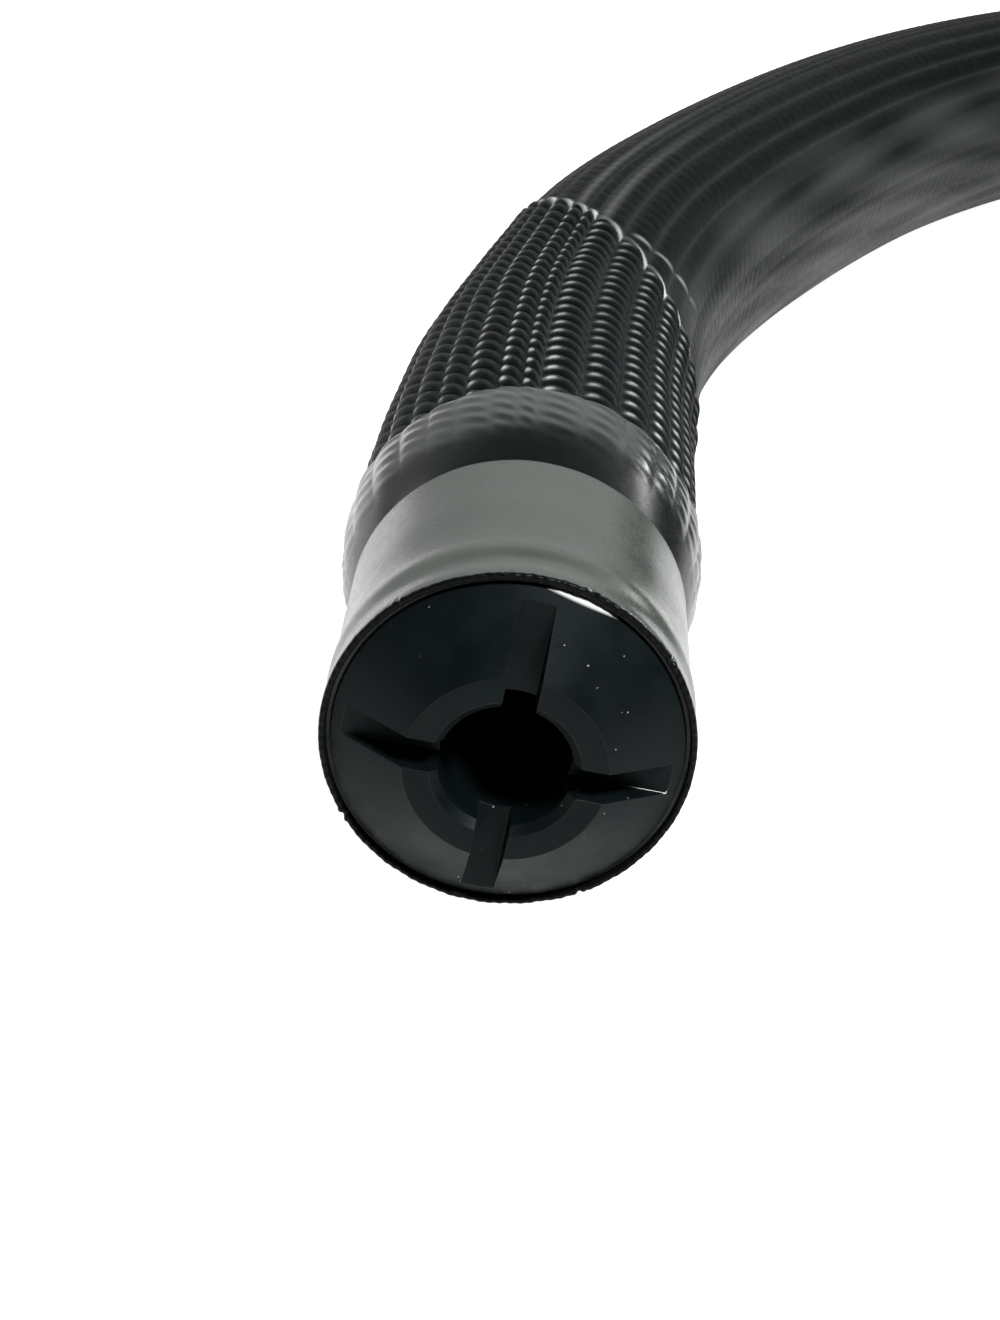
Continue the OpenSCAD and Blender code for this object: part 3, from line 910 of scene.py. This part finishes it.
# Lengths from the rim and radii, in millimetres: the smooth sleeve's outside from its lip
# over the bead, the lip from its front round into the bore, and, from the rear, the rear edge
SMOOTH_SHAPE = [(0.0, 24.0), (1.0, 24.0), (4.8, 23.62), (8.2, 23.95), (11.5, 23.66),
                (24, 23.6), (37, 23.5)]
LIP = [(0.10, 23.96), (-0.08, 23.88), (-0.2, 23.72), (-0.24, 23.5), (-0.2, 23.3),
       (-0.05, 23.16), (0.3, 23.1), (0.9, 23.1), (3.0, 23.1), (8.0, 23.1), (20.0, 23.1)]
SMOOTH_REAR = [(-0.1, 23.42), (0, 23.3), (0, 23.1)]
SMOOTH_BORE_R = 23.1

# Nicks in the lip: place and width in degrees, depth in millimetres
NICKS = [(71, 1.3, 0.42), (96, 0.7, 0.25), (38, 1.0, 0.3), (131, 0.8, 0.28), (214, 1.2, 0.3),
         (300, 0.9, 0.3)]

# The long sleeve's start, its largest radius and where, and its bore at the rear and at the
# front, in millimetres
LONG_START = 30
LONG_R, LONG_FULL_AT = 26.15, 54.5
LONG_BORE_R, LONG_FRONT_R = 25.42, 22.6


def add_smooth_sleeve(name, node, place, material, seed):
    """The short outer sleeve: a cut, nicked lip, a soft neck and bead, and a thin rear."""
    a = SLEEVE_ANGLES[None]
    end = SMOOTH_END / MM
    mm = np.r_[np.linspace(0.35, 14, 60), np.linspace(14.4, end - 0.35, 44)]
    lip_s, lip_r = np.array(LIP[::-1]).T
    rear_s, rear_r = np.array(SMOOTH_REAR).T
    s = np.r_[lip_s, mm, end + rear_s][:, None] + 0 * a
    radius = np.r_[lip_r, ease(mm, SMOOTH_SHAPE), rear_r][:, None] + 0 * a
    outer = (radius > SMOOTH_BORE_R + 0.05) * 1.0
    lip = bell(np.clip(s, 0, None), 0, 0.9) * outer
    rear = bell(np.clip(end - s, 0, None), 0, 1.0) * outer
    ragged = wobble(a, (31, 47, 73, 110), 0.07, seed) + wobble(a, (3, 5, 9), 0.05, seed + 1)
    s = s + lip * ragged + rear * wobble(a, (2, 3, 5, 17), 0.12, seed + 2)
    for place_deg, width, depth in NICKS:
        near = (np.degrees(a) - place_deg) / width
        nick = depth * bell(near, 0, 1) * lip
        s = s + nick
        radius = radius - 0.5 * nick + 0.16 * bell(np.abs(near), 1.6, 0.6) * lip
    neck = wobble(a, (2, 3, 4), 0.05, seed + 3) * np.clip(s / 10, 0, 1)
    waves = 0.04 * np.sin(s / 5.5 + wobble(a, (2, 3, 5), 1.0, seed + 4))
    radius = radius + outer * (neck + waves)
    # The lip's face and its bore are matt and painted near black, as painted shade
    cut = np.r_[1.0 + 0 * lip_s, 0 * mm, 0 * rear_s]
    cut = np.broadcast_to(cut[:, None], radius.shape)
    piece = turned_piece(name, s * MM, radius * MM, a, place, material, (("cut", cut),))
    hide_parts(node)


def add_long_sleeve(name, node, place, material, seed):
    """The longer sleeve, shrunk over the jacket so that its ribs and cords show through."""
    a = SLEEVE_ANGLES[None]
    end = SLEEVE_END / MM
    mm = np.linspace(LONG_START, end - 0.3, 150)
    k, x, _ = rib_coordinates(SLEEVE_ANGLES)
    tight = smoothstep((mm - 41) / 9)[:, None]
    arch = (1 - np.abs(x) ** 2.2)[None]
    cord = np.cos(FULL_TURN * (mm[:, None] / 3.2 - 0.3 * x + 0.31 * np.sin(2.4 * k)))
    swell = LONG_R - 3.1 * (np.clip(LONG_FULL_AT - mm, 0, None) / 17) ** 2
    flank = 0.16 + 0.2 * np.abs(np.cos(SLEEVE_ANGLES)) ** 3
    outside = swell[:, None] + tight * (flank * (arch - 0.6) + 0.075 * cord * arch)
    outside = outside + tight * wobble(a, (5, 8, 13), 0.05, seed)
    edge_r = outside[-1:]
    front, bore = np.full_like(edge_r, LONG_FRONT_R), np.full_like(edge_r, LONG_BORE_R)
    radius = np.concatenate([front, outside, edge_r - 0.12, edge_r - 0.42, bore, bore, front])
    s = np.r_[LONG_START, mm, end - 0.06, end, end - 0.1, 53, 38][:, None] + 0 * a
    cut = bell(np.clip(end - s, 0, None), 0, 1.2)
    ragged = wobble(a, (2, 3, 7), 0.22, seed + 1) + wobble(a, (29, 41, 64), 0.06, seed + 2)
    s = s + cut * (ragged - 0.25)
    # The front, up to about 45 mm, is matt and painted darker as painted shade, beside the
    # short sleeve's edge
    matt_and_shade_to = 45.5 + wobble(a, (3, 5, 8), 0.8, seed + 3)
    matt_and_shade = 0.8 * smoothstep((matt_and_shade_to - s) / 4 + 0.5)
    piece = turned_piece(name, s * MM, radius * MM, a, place, material, (("cut", matt_and_shade),))
    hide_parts(node)


# ---------------------------------------------------------------- hard pieces

def body_of_node(node):
    """The body that a CAD node belongs to."""
    bodies = frame["record"]["behaviour"]["bodies"]
    return next(name for name, nodes in bodies.items() if node in nodes)


def bevelled(node, width, material, edge):
    """A copy of a CAD node with rounded, polished edges, which stands for the node."""
    source = frame["nodes"][node]
    mesh = source.data.copy()
    mesh.name = node + "_shape"
    piece = bpy.data.objects.new(node + "_rounded", mesh)
    bpy.context.collection.objects.link(piece)
    shape = bmesh.new()
    shape.from_mesh(mesh)
    bmesh.ops.remove_doubles(shape, verts=shape.verts, dist=0.002 * MM)
    bmesh.ops.dissolve_limit(
        shape, angle_limit=math.radians(0.5), verts=shape.verts, edges=shape.edges)
    for face in shape.faces:
        face.smooth = True
    shape.to_mesh(mesh)
    shape.free()
    mesh.materials.clear()
    mesh.materials.append(material)
    mesh.materials.append(edge)
    modifier = piece.modifiers.new("round", "BEVEL")
    modifier.width = width
    modifier.segments = 2
    modifier.limit_method = "ANGLE"
    modifier.angle_limit = math.radians(30)
    modifier.harden_normals = True
    modifier.use_clamp_overlap = True
    modifier.material = 1
    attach(piece, body_of_node(node))
    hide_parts(node)
    return piece


def true_normals(piece):
    """Fixes a rounded piece's mesh and smooths its faces that turn about the hose's axis."""
    depsgraph = bpy.context.evaluated_depsgraph_get()
    mesh = bpy.data.meshes.new_from_object(piece.evaluated_get(depsgraph))
    piece.modifiers.clear()
    piece.data = mesh
    normals = [Vector(corner.vector) for corner in mesh.corner_normals]
    for face in mesh.polygons:
        out = Vector((face.center.x, 0, face.center.z)).normalized()
        tangential = face.normal.x * out.z - face.normal.z * out.x
        radial = face.normal.dot(out)
        if face.material_index == 1 or abs(radial) < 0.05 or abs(tangential) > 0.04:
            continue
        for corner, vertex in zip(face.loop_indices, face.vertices):
            place = mesh.vertices[vertex].co
            at = Vector((place.x, 0, place.z)).normalized()
            normals[corner] = Vector((radial * at.x, face.normal.y, radial * at.z)).normalized()
    mesh.normals_split_custom_set(normals)


def dress(material, *nodes):
    """Gives CAD nodes that stay in sight a better material."""
    for node in nodes:
        for holder in frame["nodes"][node].material_slots:
            holder.material = material


# ---------------------------------------------------------------- the coil's straps

# The webbing's thickness, gap to the hose, width and weave, in millimetres
STRAP_T = 2.0
STRAP_GAP = 0.5
STRAP_W = 25.0
STRAP_RIB_PITCH = 2.4
STRAP_RIB_H = 0.12
PICK_PITCH = 1.1
# Each strap's turning angle and the coil's turns that it goes round, in order
STRAP_TIES = [(25, (1, 0, 3, 2)), (95, (1, 0, 3, 2)), (190, (1, 0, 3)), (295, (1, 0, 2, 3))]


def strap_outline(tie, radius):
    """Points and outward directions, in radius and height, round the tied turns of hose."""
    turn, order = tie
    corners = np.array([[float(v) for v in wound(np.array(turn + 360.0 * k))] for k in order])
    sides = np.roll(corners, -1, axis=0) - corners
    heading = np.arctan2(sides[:, 1], sides[:, 0]) - math.pi / 2
    points, outward = [], []
    for i, corner in enumerate(corners):
        first = heading[i - 1]
        sweep = (heading[i] - first) % FULL_TURN
        angle = first + sweep * np.linspace(0, 1, 18)
        out = np.stack([np.cos(angle), np.sin(angle)], axis=1)
        points.append(corner + radius * out)
        outward.append(out)
        t = np.linspace(0, 1, 22)[1:-1, None]
        following = corners[(i + 1) % len(corners)]
        points.append(corner * (1 - t) + following * t + radius * out[-1])
        outward.append(np.repeat(out[-1:], len(t), axis=0))
    return np.concatenate(points), np.concatenate(outward)


def add_strap(name, tie, material):
    """A band of webbing with rounded edges and fine lengthwise ribs."""
    half = STRAP_W / 2
    rounding = 0.45
    side = STRAP_T / 2 - rounding
    across = np.linspace(-half + 0.4, half - 0.4, 31)
    ribs = STRAP_RIB_H * np.cos(FULL_TURN * across / STRAP_RIB_PITCH)
    top = STRAP_T / 2 - STRAP_RIB_H + ribs
    width = np.r_[across, half, half, across[::-1], -half, -half]
    depth = np.r_[top, side, -side, -STRAP_T / 2 + 0 * across, -side, side]
    middle = JACKET_R + (STRAP_GAP + STRAP_T / 2) * MM
    points, outward = strap_outline(tie, middle)
    run = np.r_[0, np.cumsum(np.linalg.norm(np.diff(points, axis=0), axis=1))] / MM
    angle = math.radians(ENTRY_HEADING + tie[0])
    radial = np.array([-math.cos(angle), math.sin(angle), 0])
    onward = np.array([math.sin(angle), math.cos(angle), 0])
    places = points[:, None] + depth[None, :, None] * MM * outward[:, None]
    verts = (np.array([COIL_X, COIL_Y, 0]) + places[..., :1] * radial
             + places[..., 1:] * np.array([0, 0, 1]) + width[None, :, None] * MM * onward)
    count = verts.shape[:2]
    along = np.broadcast_to(run[:, None], count)
    sideways = np.broadcast_to(width[None], count)
    piece = add_piece(name, verts.reshape(-1, 3), grid_faces(*count, wrap_rows=True), material,
                      values=(("along", along), ("across", sideways)))
    return piece


# ---------------------------------------------------------------- running it all

def add_sleeves():
    """The shrink sleeves at both ends."""
    smooth = sleeve_plastic("smooth_sleeve", (0.037, 0.043, 0.037), 0.24, 0.34)
    long = sleeve_plastic("weave_sleeve", (0.013, 0.017, 0.017), 0.22, 0.32)
    add_smooth_sleeve("smooth_sleeve_skin", "smooth_sleeve", near_end, smooth, 3)
    add_long_sleeve("weave_sleeve_skin", "weave_sleeve", near_end, long, 21)
    add_smooth_sleeve("far_smooth_skin", "far_smooth_sleeve", far_end, smooth, 5)
    add_long_sleeve("far_weave_skin", "far_weave_sleeve", far_end, long, 23)


def add_hard_pieces():
    """The plug, the cuff and the slides with rounded edges."""
    plug = black_plastic("plug_plastic", on_plug=True)
    plug_edge = polished_edge("plug_edge", on_plug=True)
    black = black_plastic("black_plastic", (0.006, 0.007, 0.008))
    dark = black_plastic("nut_plastic", (0.030, 0.031, 0.032))
    grip = soft_rubber("grip_rubber", (0.035, 0.036, 0.037))
    edge = polished_edge("polished_edge")
    true_normals(bevelled("nose_plug", 0.24 * MM, plug, plug_edge))
    bevelled("cuff_body", 0.3 * MM, black, edge)
    bevelled("cuff_insert", 0.3 * MM, black, edge)
    bevelled("cuff_collar", 0.35 * MM, dark, edge)
    bevelled("cuff_grip", 0.25 * MM, grip, grip)
    bevelled("strap_slides", 0.4 * MM, dark, edge)


def dress_inner_pieces():
    """The materials of the CAD pieces inside both ends."""
    dress(soft_rubber("seal_rubber", (0.012, 0.012, 0.012)),
          "plug_seal", "seat_ring", "insert_seal", "cuff_seal")
    dress(soft_rubber("liner_plastic", (0.10, 0.10, 0.10)), "hose_liner", "far_liner")
    dress(steel(), "front_crimp_band", "rear_crimp_band", "support_wire",
          "far_support_wire", "far_crimp_bands")
    dress(soft_rubber("washer_plastic", (0.62, 0.60, 0.54)), "cuff_washer")
    dress(bpy.data.materials["woven_jacket"], "jacket_end", "far_jacket_end")


def add_straps():
    """The four straps that hold the coil."""
    material = webbing()
    pieces = [add_strap(f"strap_{i + 1}", tie, material) for i, tie in enumerate(STRAP_TIES)]
    for piece in pieces:
        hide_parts("coil_straps")
    return pieces


add_camera()
add_floor()
add_backdrop()
add_wall()
for name, place, size, power in LAMPS:
    add_lamp(name, place, size, power)
bpy.context.scene.view_settings.view_transform = "Standard"
hose, weave_pieces, hose_path = add_hose()
add_sleeves()
add_hard_pieces()
dress_inner_pieces()
straps = add_straps()
